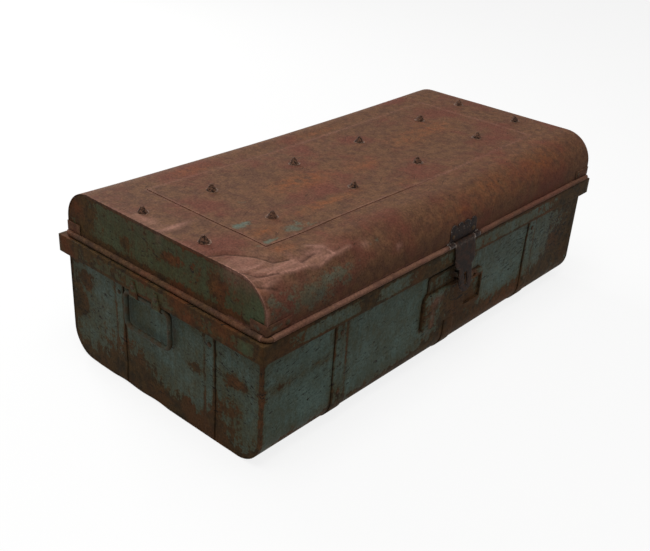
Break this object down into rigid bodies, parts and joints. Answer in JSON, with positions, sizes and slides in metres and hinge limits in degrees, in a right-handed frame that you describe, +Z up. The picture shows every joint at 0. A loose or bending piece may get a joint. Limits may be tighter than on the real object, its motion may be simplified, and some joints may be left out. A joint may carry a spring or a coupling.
{
  "type": "tin trunk",
  "caption": "Long riveted sheet-metal trunk with a low hinged lid rounded along its long edges, a raised rim band, drop handles, straps, a swinging hasp and a staple.",
  "frame": {"origin": "on the floor under the middle of the base, on the middle strap's underside", "axes": "+X along the length to the right as seen from the front, +Y to the back, +Z up"},
  "size_m": [0.9416, 0.4963, 0.3246],
  "materials": {
    "base_paint": "old blue-green paint, worn through to brown rust",
    "lid_paint": "paint worn down to red-brown rust with traces of blue-green",
    "band_paint": "rusted paint",
    "strap_paint": "old blue-green paint with rusty edges",
    "lock_paint": "green paint over rusted sheet",
    "painted_iron": "painted iron, worn bare on its edges",
    "worn_wire": "rubbed, rusty wire",
    "dark_iron": "dark worn iron",
    "pin_steel": "dull steel",
    "rivet_iron": "rusted iron"
  },
  "bodies": {
    "base": {"back_strap_rivets": "rivet_iron", "band_back": "band_paint", "band_front": "band_paint", "band_left": "band_paint", "band_right": "band_paint", "base_left_end": "base_paint", "base_right_end": "base_paint", "base_wrapper": "base_paint", "belly_strap_left": "strap_paint", "belly_strap_middle": "strap_paint", "belly_strap_right": "strap_paint", "front_strap_rivets": "rivet_iron", "hinge_base_rivets": "rivet_iron", "left_end_rivets": "rivet_iron", "left_end_strap_a": "strap_paint", "left_end_strap_b": "strap_paint", "left_handle_clip_a": "painted_iron", "left_handle_clip_b": "painted_iron", "left_handle_rivets": "rivet_iron", "left_hinge_base_leaf": "painted_iron", "left_hinge_pin": "pin_steel", "lock_backing": "lock_paint", "lock_case": "lock_paint", "right_end_rivets": "rivet_iron", "right_end_strap_a": "strap_paint", "right_end_strap_b": "strap_paint", "right_handle_clip_a": "painted_iron", "right_handle_clip_b": "painted_iron", "right_handle_rivets": "rivet_iron", "right_hinge_base_leaf": "painted_iron", "right_hinge_pin": "pin_steel", "staple": "dark_iron"},
    "lid": {"hasp_plate": "dark_iron", "hasp_plate_rivets": "dark_iron", "hinge_lid_rivets": "rivet_iron", "left_hinge_lid_leaf": "painted_iron", "lid_back_corner_rivets": "rivet_iron", "lid_back_left_corner": "lid_paint", "lid_back_right_corner": "lid_paint", "lid_front_corner_rivets": "rivet_iron", "lid_front_left_corner": "lid_paint", "lid_front_right_corner": "lid_paint", "lid_left_end": "lid_paint", "lid_right_end": "lid_paint", "lid_rim_wire": "worn_wire", "lid_studs": "rivet_iron", "lid_top": "lid_paint", "right_hinge_lid_leaf": "painted_iron"},
    "hasp": {"hasp_leaf": "dark_iron"},
    "left_handle": {"left_handle_bail": "painted_iron"},
    "right_handle": {"right_handle_bail": "painted_iron"}
  },
  "joints": [
    {"name": "lid_hinge", "type": "hinge", "parent": "base", "child": "lid", "pos_m": [0, 0.24058, 0.22935], "axis": [-1, 0, 0], "range_deg": [0, 105]},
    {"name": "hasp_swing", "type": "hinge", "parent": "lid", "child": "hasp", "pos_m": [0.012, -0.23485, 0.22935], "axis": [-1, 0, 0], "range_deg": [-7.9, 110]},
    {"name": "left_handle_swing", "type": "hinge", "parent": "base", "child": "left_handle", "pos_m": [-0.4634, 0.016, 0.1875], "axis": [0, 1, 0], "range_deg": [0, 110]},
    {"name": "right_handle_swing", "type": "hinge", "parent": "base", "child": "right_handle", "pos_m": [0.4634, -0.016, 0.1875], "axis": [0, -1, 0], "range_deg": [0, 110]}
  ]
}
